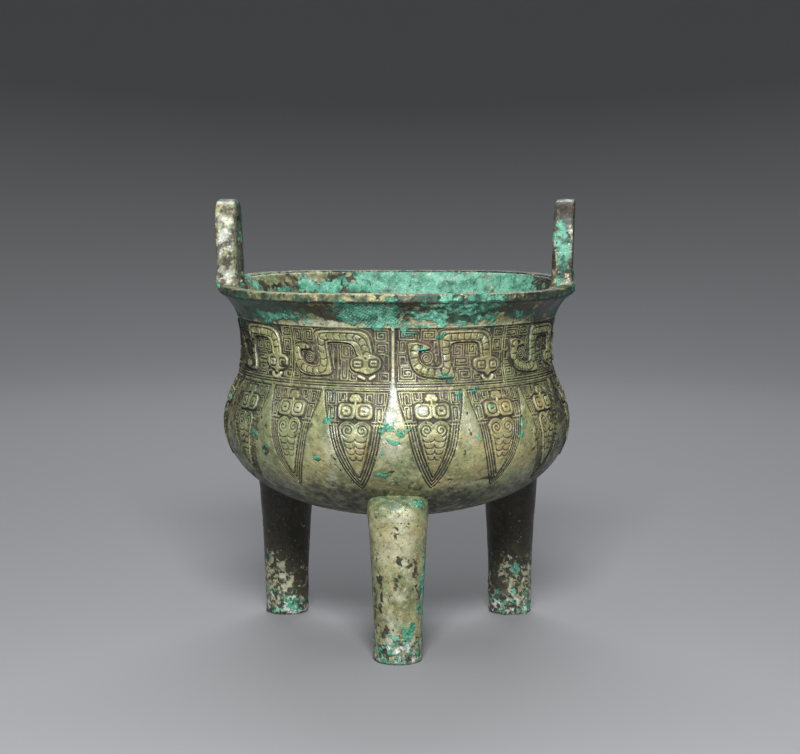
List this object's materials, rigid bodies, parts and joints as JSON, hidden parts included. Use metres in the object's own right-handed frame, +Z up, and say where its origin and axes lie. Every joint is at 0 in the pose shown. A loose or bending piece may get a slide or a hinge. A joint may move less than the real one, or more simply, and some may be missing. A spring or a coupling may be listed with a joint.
{
  "type": "bronze ding vessel",
  "caption": "Round cast bronze ding: bulging bowl with everted lip, upright loop handles on the lip and column legs; crested serpents ring the neck, hanging cicada blades below",
  "frame": {"origin": "on the surface the feet stand on, under the middle of the part's box", "axes": "+Z up; the handles stand at +X and -X; -Y is the front, where one leg stands"},
  "size_m": [0.1735, 0.172, 0.21],
  "materials": {
    "patinated_bronze": "worn tin bronze under a mottled olive, turquoise and brown patina"
  },
  "bodies": {
    "root": {"cauldron": "patinated_bronze"}
  },
  "joints": []
}
